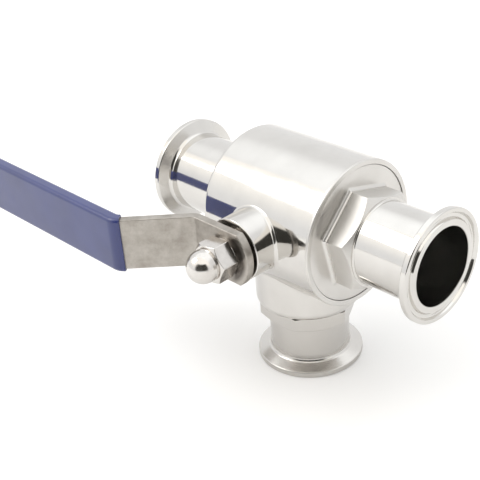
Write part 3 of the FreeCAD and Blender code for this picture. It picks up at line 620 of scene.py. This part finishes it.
def make_flat_washer():
    """Plain washer with softened edges."""
    shell = Shell()
    start = nut_start - washer_thickness
    shell.revolve(Turned(-Y_AXIS, X_AXIS, even_angles(128)), [
        (screw_hole, start), (washer_radius, start, washer_back_edge),
        (washer_radius, nut_start, washer_front_edge), (screw_hole, nut_start, hole_edge),
        (screw_hole, start),
    ])
    shell.build("flat_washer_shell", "stem_and_lever", "turned_steel", ["flat_washer"])


def make_spring_washer():
    """Split washer: its section goes once round, less the slanted slit, and is closed at both ends.

    The angle at which a point stands leans with its height: lean = slant·(height)/radius.
    """
    shell = Shell()
    half_slit = math.degrees(spring_split / 2 / spring_radius)
    section, facing = rounded([
        (neck_radius, 0), (spring_radius, 0, spring_back_edge),
        (spring_radius, spring_thickness, spring_front_edge),
        (neck_radius, spring_thickness, hole_edge), (neck_radius, 0),
    ])
    lean = math.tan(spring_slant) * (section[:, 1] - spring_thickness / 2) / spring_radius
    sweep = np.radians(np.linspace(90 + half_slit, 450 - half_slit, 97))
    angles = sweep[None, :] + lean[:, None]
    stem = Turned(-Y_AXIS, X_AXIS, [0.0])

    def ring(values):
        return values[:, 1, None, None] * stem.axis + values[:, 0, None, None] * stem.spoke(angles)

    points = ring(section + [0, spring_start])
    shell.add(points, ring(facing))
    for column, side in ((0, -1.0), (-1, 1.0)):
        end = points[:, column]
        middle = np.broadcast_to(end.mean(0), end.shape)
        along = side * np.cross(stem.axis, stem.spoke(angles[0, column]))
        shell.add(np.stack([end, middle]), np.broadcast_to(along, (2,) + end.shape))
    shell.build("spring_washer_shell", "housing", "turned_steel", ["spring_washer"])


class Strip:
    """Flat strip with two bends, whose middle line runs from the toe to the tip.

    The line lies in the plane of the run and the stem. It is two straight lines side by side and a
    slanted one between them, with an arc at both bends.
    """

    def __init__(self):
        half = lever_thickness / 2
        shift = half * math.tan(lever_bend / 2)
        near, far = lever_back + half, handle_front - half
        step = (far - near) / math.tan(lever_bend)
        start = -(first_bend + shift)
        middle_round = bend_round + half
        self.line, self.facing = rounded([
            (lever_toe, -near), (start, -near, middle_round), (start - step, -far, middle_round),
            (-lever_reach, -far),
        ], step=3.0)
        lengths = np.linalg.norm(np.diff(self.line, axis=0), axis=1)
        self.travel = np.concatenate([[0], np.cumsum(lengths)])
        self.length = self.travel[-1]
        self.second_bend_start = self.travel[-2] - middle_round * lever_bend

    def at(self, travel):
        """Point, front-facing direction and forward direction at a distance from the toe.

        Beyond either end the line goes straight on.
        """
        inside = np.clip(travel, 0, self.length)
        x, y = (np.interp(inside, self.travel, self.line[:, k]) for k in (0, 1))
        turn = np.unwrap(np.arctan2(self.facing[:, 1], self.facing[:, 0]))
        angle = np.interp(inside, self.travel, turn)
        front = np.stack([np.cos(angle), np.sin(angle), 0 * angle], -1)
        forward = np.stack([-np.sin(angle), np.cos(angle), 0 * angle], -1)
        place = np.stack([x, y, 0 * x], -1) + (travel - inside)[..., None] * forward
        return place, front, forward

    def rings(self, outline, half_thickness, edge):
        """Closed rings round the strip at each place of its outline.

        The outline gives, for one long edge, the distance from the toe, the half-width and the tilt of
        its outward direction towards the tip. From the outline a ring goes in by edge·(1 - sin a) while
        it turns from front to back, a quarter circle at the front edge and one at the back.
        """
        travel, width, tilt = (column[:, None] for column in outline.T)
        quarter = np.linspace(0, math.pi / 2, 5)
        turn = np.concatenate([quarter, quarter + math.pi / 2])
        offset = np.repeat([half_thickness - edge, edge - half_thickness], len(quarter))
        offset = offset + edge * np.cos(turn)
        inwards = edge * (1 - np.sin(turn))
        place, front, forward = self.at(travel - inwards * np.sin(tilt))
        height = width - inwards * np.cos(tilt)
        points = place + offset[None, :, None] * front
        sides = []
        for sign in (1.0, -1.0):
            outward = np.sin(tilt)[..., None] * forward + sign * np.cos(tilt)[..., None] * Z_AXIS
            normal = np.cos(turn)[None, :, None] * front + np.sin(turn)[None, :, None] * outward
            sides.append((points + sign * height[..., None] * Z_AXIS, normal))
        (top, top_normal), (bottom, bottom_normal) = sides
        return np.hstack([top, bottom[:, ::-1]]), np.hstack([top_normal, bottom_normal[:, ::-1]])


def add_strip(shell, points, normals):
    """Rings of a strip, and the flat end that closes the last of them."""
    shell.add(points, normals, closed=True)
    half = points.shape[1] // 2
    top, bottom = points[-1, :half], points[-1, :half - 1:-1]
    shell.add(np.stack([top, bottom]), np.stack([normals[-1, :half]] * 2))


def long_edge(strip, corners, step=3.0):
    """Outline of one long edge, without the corners on the strip's middle line.

    It is the rounded outline through corners (distance from the toe, half-width, rounding), with a
    place at every turn of the strip's bends on its longest straight run.
    """
    places, facing = rounded(corners)
    outline = np.column_stack([places, np.arctan2(facing[:, 0], facing[:, 1])])
    gap = np.argmin(np.diff(outline[:, 0]))
    end, start = outline[gap, 0], outline[gap + 1, 0]
    even = np.linspace(start, end, int((end - start) / step) + 2)[1:-1]
    clear = 0.05
    bends = strip.travel[(strip.travel > start + clear) & (strip.travel < end - clear)]
    extra = np.unique(np.round(np.concatenate([even, bends]), 6))[::-1]
    inserted = np.column_stack([extra, np.full_like(extra, outline[gap, 1]), np.zeros_like(extra)])
    outline = np.vstack([outline[:gap + 1], inserted, outline[gap + 1:]])
    return outline[outline[:, 1] > 0]


def make_toe():
    """Outline of the lever's round toe, from the long edge to the middle line, and where it starts.

    The toe is an arc of radius (w² + f²) / 2f for a half-width w that falls back by f. A small arc
    joins it to the long edge: its centre is toe_corner inside both. A place on an arc of radius r
    about (c, d) is (c + r·sin(tilt), d + r·cos(tilt)).
    """
    toe_radius = (lever_half_width**2 + toe_fall**2) / (2 * toe_fall)
    side = lever_half_width - toe_corner
    reach = toe_radius - toe_corner
    centre = toe_radius - math.sqrt(reach**2 - side**2)
    meeting = -math.acos(side / reach)
    small = np.linspace(0, meeting, 8)[1:]
    large = np.linspace(meeting, math.radians(-89), 30)[1:]
    return np.column_stack([
        np.concatenate([centre + toe_corner * np.sin(small), toe_radius + toe_radius * np.sin(large)]),
        np.concatenate([side + toe_corner * np.cos(small), toe_radius * np.cos(large)]),
        np.concatenate([small, large]),
    ]), centre


def make_lever():
    """Stamped lever: round toe, two bends, rounded tip."""
    shell = Shell()
    strip = Strip()
    toe, toe_start = make_toe()
    outline = long_edge(strip, [
        (strip.length, 0), (strip.length, lever_half_width, tip_round), (toe_start, lever_half_width),
    ])
    points, normals = strip.rings(np.vstack([outline, toe]), lever_thickness / 2, lever_edge)
    add_strip(shell, points, normals)
    add_strip(shell, points[:1], normals[:1])
    shell.build("lever_strip", "stem_and_lever", "brushed_steel", ["lever"])


def make_sleeve():
    """Dip-moulded sleeve: an outer skin and an inner one, joined by a rolled lip at the open end.

    The lip is half an oval from skin to lining: middle - lip_depth·sin(t)·forward + cos(t)·reach.
    """
    shell = Shell()
    strip = Strip()
    wall = sleeve_half_width - lever_half_width
    mouth = strip.second_bend_start - sleeve_lead + lip_depth
    inner_width = lever_half_width + sleeve_fit
    tip, inner_tip = strip.length + wall, strip.length + sleeve_fit
    outer = long_edge(strip, [
        (tip, 0), (tip, sleeve_half_width, tip_round + wall), (mouth, sleeve_half_width),
    ], step=2.0)
    inner = long_edge(strip, [
        (inner_tip, 0), (inner_tip, inner_width, tip_round), (mouth, inner_width),
    ], step=2.0)
    skin, skin_normals = strip.rings(outer, lever_thickness / 2 + wall, sleeve_round)
    lining, lining_normals = strip.rings(inner, lever_thickness / 2 + sleeve_fit, lever_edge)
    turn = np.linspace(0, math.pi, 9)[1:-1, None, None]
    middle, reach = (skin[-1] + lining[-1]) / 2, (skin[-1] - lining[-1]) / 2
    forward = strip.at(np.array([mouth]))[2]
    away = reach / np.linalg.norm(reach, axis=1, keepdims=True)
    lip = middle - lip_depth * np.sin(turn) * forward + np.cos(turn) * reach
    lip_normals = np.cos(turn) * away - np.sin(turn) * forward
    add_strip(
        shell,
        np.concatenate([lining, lip[::-1], skin[::-1]]),
        np.concatenate([-lining_normals, lip_normals[::-1], skin_normals[::-1]]),
    )
    add_strip(shell, lining[:1], -lining_normals[:1])
    shell.build("sleeve_skin", "stem_and_lever", "blue_vinyl", ["lever_sleeve"])


class Nodes:
    """Short ways to add and join the nodes of a material or a world."""

    def __init__(self, owner):
        owner.use_nodes = True
        self.nodes, self.links = owner.node_tree.nodes, owner.node_tree.links

    def spread(self, value, low, high, start=0.3, end=0.7, curve="LINEAR"):
        """Maps a value between start and end onto low to high."""
        node = self.nodes.new("ShaderNodeMapRange")
        node.interpolation_type = curve
        limits = {"From Min": start, "From Max": end, "To Min": low, "To Max": high}
        for socket, number in limits.items():
            node.inputs[socket].default_value = number
        self.links.new(value, node.inputs["Value"])
        return node.outputs["Result"]

    def combine(self, operation, first, *others):
        """Sockets and numbers joined by an operation, from left to right."""
        for other in others:
            node = self.nodes.new("ShaderNodeMath")
            node.operation = operation
            for socket, value in zip(node.inputs, (first, other)):
                if isinstance(value, (int, float)):
                    socket.default_value = value
                else:
                    self.links.new(value, socket)
            first = node.outputs["Value"]
        return first

    def between(self, value, first, second):
        """Colour between two others."""
        node = self.nodes.new("ShaderNodeMix")
        node.data_type = "RGBA"
        for socket, colour in (("A", first), ("B", second)):
            if isinstance(colour, tuple):
                node.inputs[socket].default_value = (*colour, 1)
            else:
                self.links.new(colour, node.inputs[socket])
        self.links.new(value, node.inputs["Factor"])
        return node.outputs["Result"]


class Finish(Nodes):
    """A material, its patterns and its shader."""

    def __init__(self, name):
        self.material = bpy.data.materials.new(name)
        super().__init__(self.material)
        self.shader = self.nodes["Principled BSDF"]
        self.where = self.nodes.new("ShaderNodeTexCoord").outputs["Object"]

    def stretched(self, scale):
        """Object coordinates, stretched."""
        node = self.nodes.new("ShaderNodeMapping")
        node.inputs["Scale"].default_value = scale
        self.links.new(self.where, node.inputs["Vector"])
        return node.outputs["Vector"]

    def noise(self, scale, detail, rough, where=None):
        """Cloudy pattern with so many spots to the metre, finer layers and strength of those."""
        node = self.nodes.new("ShaderNodeTexNoise")
        node.inputs["Scale"].default_value = scale
        node.inputs["Detail"].default_value = detail
        node.inputs["Roughness"].default_value = rough
        self.links.new(where or self.where, node.inputs["Vector"])
        return node.outputs["Fac"]

    def up_to(self, value, full, none):
        """1 where a length is less than full, in mm, falling to 0 at none."""
        return self.spread(value, 1.0, 0.0, full * MM, none * MM)

    def beyond(self, value, none, full):
        """0 where a length is less than none, in mm, rising to 1 at full."""
        return self.spread(value, 0.0, 1.0, none * MM, full * MM)

    def from_axis(self, across):
        """Place along the run, height, and distance from an axis that is level.

        It is sqrt(a² + h²), with h the height above the valve's centre. With a = Y the axis is the
        run's, and with a = X it is the stem's.
        """
        parts = self.nodes.new("ShaderNodeSeparateXYZ")
        self.links.new(self.where, parts.inputs["Vector"])
        side = parts.outputs[across]
        height = self.combine("SUBTRACT", parts.outputs["Z"], centre_height * MM)
        square = self.combine(
            "ADD", self.combine("MULTIPLY", side, side), self.combine("MULTIPLY", height, height)
        )
        return parts.outputs["X"], parts.outputs["Z"], self.combine("POWER", square, 0.5)

    def ring(self, radius):
        """Vector that holds only a radius, for a pattern of rings."""
        vector = self.nodes.new("ShaderNodeCombineXYZ")
        self.links.new(radius, vector.inputs["X"])
        return vector.outputs["Vector"]

    def bump(self, relief, strength, distance):
        """Bump of the surface from a relief."""
        node = self.nodes.new("ShaderNodeBump")
        node.inputs["Strength"].default_value = strength
        node.inputs["Distance"].default_value = distance
        self.links.new(relief, node.inputs["Height"])
        self.links.new(node.outputs["Normal"], self.shader.inputs["Normal"])

    def set(self, **values):
        """Plain values of the shader."""
        for name, value in values.items():
            self.shader.inputs[name.replace("_", " ")].default_value = value

    def drive(self, socket, value):
        """Value of the shader that a pattern gives."""
        self.links.new(value, self.shader.inputs[socket])


def polished_steel():
    """Mirror polish with faint clouds, hairlines and a slight waviness.

    The barrel's end shows its turning. The bores, the lower fitting, the cap's flats and the cone
    behind the left rim are duller, and the first two are darker in colour as well, which is painted
    shade. Where one finish passes into another, both lengths of the step are given.
    """
    finish = Finish("polished_steel")
    along, height, radius = finish.from_axis("Y")
    fitting_top = centre_height - branch_end
    fitting = finish.up_to(height, fitting_top - 0.5, fitting_top)
    bores = finish.up_to(radius, bore_radius + 0.1, bore_radius + 0.5)
    off_tube = finish.beyond(radius, tube_radius + 0.9, tube_radius + 1.2)
    flats = finish.combine(
        "MULTIPLY", off_tube,
        finish.beyond(along, barrel_half + 1.6, barrel_half + 2.2),
        finish.up_to(along, barrel_half + cap_hex_height, barrel_half + 14.0),
    )
    left_cone = finish.combine(
        "MULTIPLY", off_tube,
        finish.up_to(along, -(barrel_half + 8.0), -(barrel_half + 6.0)),
        finish.up_to(radius, flange_radius - 0.5, flange_radius - 0.2),
    )
    from_end = finish.combine("ABSOLUTE", finish.combine("SUBTRACT", along, barrel_half * MM), 0)
    turned = finish.up_to(from_end, 0.9, 1.5)

    cloud = finish.spread(finish.noise(60.0, 4.0, 0.55), 0, 1)
    colour = finish.between(cloud, (0.69, 0.672, 0.645), (0.75, 0.732, 0.705))
    # Painted shade: the colour is darkened inside the bores and over the lower fitting.
    for area, share, dark in (
        (fitting, 0.45, (0.60, 0.575, 0.545)), (bores, 0.4, (0.22, 0.21, 0.20)),
    ):
        colour = finish.between(finish.combine("MULTIPLY", area, share), colour, dark)
    finish.drive("Base Color", colour)

    hair = finish.noise(900.0, 2.0, 0.6, finish.stretched((0.12, 1.0, 1.0)))
    smear = finish.spread(finish.noise(35.0, 5.0, 0.6), 0.045, 0.12, 0.35, 0.75)
    duller = finish.combine("MAXIMUM", *(
        finish.combine("MULTIPLY", area, dullness)
        for area, dullness in ((bores, 0.12), (fitting, 0.13), (flats, 0.34), (left_cone, 0.12))
    ))
    turning = finish.combine("MULTIPLY", turned, 0.235)
    finish.drive("Roughness", finish.combine(
        "ADD", smear, duller, turning, finish.spread(hair, 0.0, 0.03)
    ))
    waves, rings = finish.noise(55.0, 1.0, 0.4), finish.noise(1800.0, 2.0, 0.6, finish.ring(radius))
    finish.bump(finish.combine(
        "ADD", waves, finish.combine("MULTIPLY", hair, 0.01),
        finish.combine("MULTIPLY", rings, turned, 0.22),
    ), 0.25, 0.00012)
    finish.set(Metallic=1.0)
    return finish.material


def turned_steel():
    """Bright turned steel of nut, washers and stem, with a few dull spots."""
    finish = Finish("turned_steel")
    cloud = finish.spread(finish.noise(180.0, 4.0, 0.6), 0, 1)
    finish.drive("Base Color", finish.between(cloud, (0.66, 0.63, 0.60), (0.77, 0.745, 0.715)))
    finish.drive("Roughness", finish.spread(finish.noise(240.0, 4.0, 0.65), 0.09, 0.24))
    finish.bump(finish.noise(420.0, 3.0, 0.6), 0.2, 0.00006)
    finish.set(Metallic=1.0)
    return finish.material


def brushed_steel():
    """Stamped strip: lengthwise brushing, mottled spots, and painted shade beside the nut."""
    finish = Finish("brushed_steel")
    mottle = finish.noise(150.0, 6.0, 0.7)
    tone = finish.spread(mottle, 0, 1, 0.32, 0.66)
    colour = finish.between(tone, (0.35, 0.32, 0.285), (0.53, 0.50, 0.46))
    along, _, from_stem = finish.from_axis("X")
    # Painted shade: the lever's face is darkened near the nut, on its side towards +X.
    nut_side_painted_shade = finish.combine(
        "MULTIPLY", finish.up_to(from_stem, 11.2, 13.2), finish.beyond(along, 2.0, 6.0), 0.8
    )
    finish.drive("Base Color", finish.between(nut_side_painted_shade, colour, (0.06, 0.048, 0.04)))
    lines = finish.noise(700.0, 3.0, 0.7, finish.stretched((0.03, 0.03, 1.0)))
    spots = finish.spread(finish.noise(300.0, 5.0, 0.75), 0.0, 0.14, 0.4, 0.75)
    finish.drive("Roughness", finish.combine("ADD", finish.spread(lines, 0.26, 0.42), spots))
    relief = finish.combine("ADD", lines, finish.combine("MULTIPLY", mottle, 0.8))
    finish.bump(relief, 0.35, 0.00008)
    finish.set(Metallic=1.0, Anisotropic=0.35)
    return finish.material


def blue_vinyl():
    """Soft blue vinyl: satin skin with a faint waviness and rubbed patches."""
    finish = Finish("blue_vinyl")
    tone = finish.spread(finish.noise(40.0, 2.0, 0.5), 0, 1)
    finish.drive("Base Color", finish.between(tone, (0.013, 0.024, 0.145), (0.019, 0.033, 0.185)))
    finish.drive("Roughness", finish.spread(finish.noise(90.0, 4.0, 0.5), 0.285, 0.37))
    finish.bump(finish.noise(60.0, 1.0, 0.4), 0.2, 0.0001)
    finish.set(Specular_IOR_Level=0.7, Coat_Weight=0.5, Coat_Roughness=0.25)
    return finish.material


def seat_plastic():
    """White fluoroplastic of seats and packing."""
    finish = Finish("seat_plastic")
    tone = finish.spread(finish.noise(80.0, 3.0, 0.5), 0, 1)
    finish.drive("Base Color", finish.between(tone, (0.84, 0.84, 0.82), (0.91, 0.91, 0.895)))
    finish.drive("Roughness", finish.spread(finish.noise(200.0, 3.0, 0.5), 0.36, 0.5))
    finish.bump(finish.noise(600.0, 2.0, 0.5), 0.15, 0.00005)
    return finish.material


finishes = {
    maker.__name__: maker()
    for maker in (polished_steel, turned_steel, brushed_steel, blue_vinyl, seat_plastic)
}

hidden_finish = {
    "turned_steel": ["stem", "packing_gland"],
    "polished_steel": ["ball"],
    "seat_plastic": [
        "seat_right", "seat_left", "seat_lower", "end_cap_seal", "drop_fitting_seal", "thrust_washer",
        "packing_base_ring", "packing_chevron_1", "packing_chevron_2", "packing_top_ring",
    ],
}
for finish_name, nodes in hidden_finish.items():
    for node in nodes:
        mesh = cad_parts[node].data
        mesh.materials.clear()
        mesh.materials.append(finishes[finish_name])

make_valve_body()
make_left_port()
make_end_cap()
make_drop_port()
make_domed_nut()
make_flat_washer()
make_spring_washer()
make_lever()
make_sleeve()


def make_floor():
    """White table that fills the view. A faint glow, for the camera alone, keeps it white."""
    reach, glow = 6.0, 0.12
    corners = [(-reach, -reach, 0), (reach, -reach, 0), (reach, reach, 0), (-reach, reach, 0)]
    mesh = bpy.data.meshes.new("floor")
    mesh.from_pydata(corners, [], [(0, 1, 2, 3)])
    table = Finish("white_table")
    table.set(Base_Color=(0.93, 0.925, 0.92, 1), Roughness=0.9, Emission_Color=(1, 1, 1, 1))
    seen = table.nodes.new("ShaderNodeLightPath").outputs["Is Camera Ray"]
    table.drive("Emission Strength", table.combine("MULTIPLY", seen, glow))
    mesh.materials.append(table.material)
    new_object("floor", mesh)


class Surround(Nodes):
    """World of the studio: a colour for every direction, and plain white for the camera itself."""

    def __init__(self, colour):
        world = bpy.data.worlds.new("studio_surround")
        bpy.context.scene.world = world
        super().__init__(world)
        self.direction = self.nodes.new("ShaderNodeTexCoord").outputs["Generated"]
        self.colour = colour

    def towards(self, way, start, end):
        """0 to 1 as the cosine between this way and the view's grows from start to end."""
        dot = self.nodes.new("ShaderNodeVectorMath")
        dot.operation = "DOT_PRODUCT"
        dot.inputs[1].default_value = Vector(way).normalized()
        self.links.new(self.direction, dot.inputs[0])
        return self.spread(dot.outputs["Value"], 0.0, 1.0, start, end, "SMOOTHSTEP")

    def paint(self, colour, *shares):
        """Lays a colour over the surround, as strongly as the product of its shares."""
        self.colour = self.between(self.combine("MULTIPLY", *shares), self.colour, colour)

    def finish(self):
        """Shows white to the camera and the painted colours to everything else."""
        white = self.nodes.new("ShaderNodeBackground")
        white.inputs["Color"].default_value = (1, 1, 1, 1)
        painted = self.nodes["Background"]
        self.links.new(self.colour, painted.inputs["Color"])
        choice = self.nodes.new("ShaderNodeMixShader")
        rays = self.nodes.new("ShaderNodeLightPath")
        self.links.new(rays.outputs["Is Camera Ray"], choice.inputs["Fac"])
        self.links.new(painted.outputs["Background"], choice.inputs[1])
        self.links.new(white.outputs["Background"], choice.inputs[2])
        self.links.new(choice.outputs["Shader"], self.nodes["World Output"].inputs["Surface"])


def direction(azimuth, elevation):
    """Unit vector from its angle about +Z, from +X towards +Y, and its height, in degrees."""
    turn, rise = math.radians(azimuth), math.radians(elevation)
    return math.cos(turn) * math.cos(rise), math.sin(turn) * math.cos(rise), math.sin(rise)


def make_world():
    """Pale walls, a brighter ceiling and front-left panel, and the unlit end of the room.

    The unlit end is a wide round patch behind the camera, without its upper part.
    """
    walls, ceiling, panel = (0.99, 0.995, 1.0), (1.37, 1.39, 1.40), (1.36, 1.33, 1.27)
    unlit = (0.055, 0.053, 0.048)
    panel_edge, behind_camera = direction(287.0, 0.0), direction(309.0, 14.0)
    surround = Surround(walls)
    surround.paint(ceiling, surround.towards(Z_AXIS, 0.59, 0.83))
    surround.paint(
        panel, surround.towards(panel_edge, -0.01, 0.02), surround.towards(Z_AXIS, 0.10, 0.62)
    )
    surround.paint(
        unlit, surround.towards(behind_camera, 0.68, 0.80), surround.towards(-Z_AXIS, -0.74, -0.66)
    )
    surround.finish()


def make_key_lamp():
    """Square soft lamp at the front left, high up, turned to the valve."""
    place, target = Vector((-0.9, -0.9, 1.3)), Vector((0, 0, 0.05))
    data = bpy.data.lights.new("key_lamp", "AREA")
    data.size = 0.8
    data.energy = 6.0
    lamp = new_object("key_lamp", data)
    lamp.location = place
    lamp.rotation_euler = (target - place).to_track_quat("-Z", "Y").to_euler()


def make_camera():
    """Camera at the photo's angle: azimuth from -Y towards +X, elevation, roll, distance and framing.

    The valve's centre lies at centre_pixel, so the camera is moved sideways and up by its distance
    from the middle of the picture, times the distance, over the focal length in pixels.
    """
    azimuth, elevation, roll = (math.radians(angle) for angle in (48.455, 29.311, -4.734))
    distance = 457.83
    focal_pixels, image_pixels = 1007.2, 480.0
    centre_pixel = (304.65, 211.73)
    right = Vector((math.cos(azimuth), math.sin(azimuth), 0))
    level = Vector((math.sin(azimuth), -math.cos(azimuth), 0))
    back = math.cos(elevation) * level + math.sin(elevation) * Vector(Z_AXIS)
    up = back.cross(right)
    turned_right = math.cos(roll) * right + math.sin(roll) * up
    turned_up = math.cos(roll) * up - math.sin(roll) * right
    across, down = ((pixel - image_pixels / 2) / focal_pixels * distance for pixel in centre_pixel)
    place = Vector(CENTRE) - across * turned_right + down * turned_up + distance * back
    data = bpy.data.cameras.new("camera")
    data.sensor_width = 36.0
    data.lens = focal_pixels / image_pixels * data.sensor_width
    data.clip_start = 0.01
    camera = new_object("camera", data)
    turn = Matrix((turned_right, turned_up, back)).transposed().to_4x4()
    camera.matrix_world = Matrix.Translation(place * MM) @ turn
    bpy.context.scene.camera = camera


make_floor()
make_world()
make_key_lamp()
make_camera()
bpy.context.scene.view_settings.view_transform = "Standard"
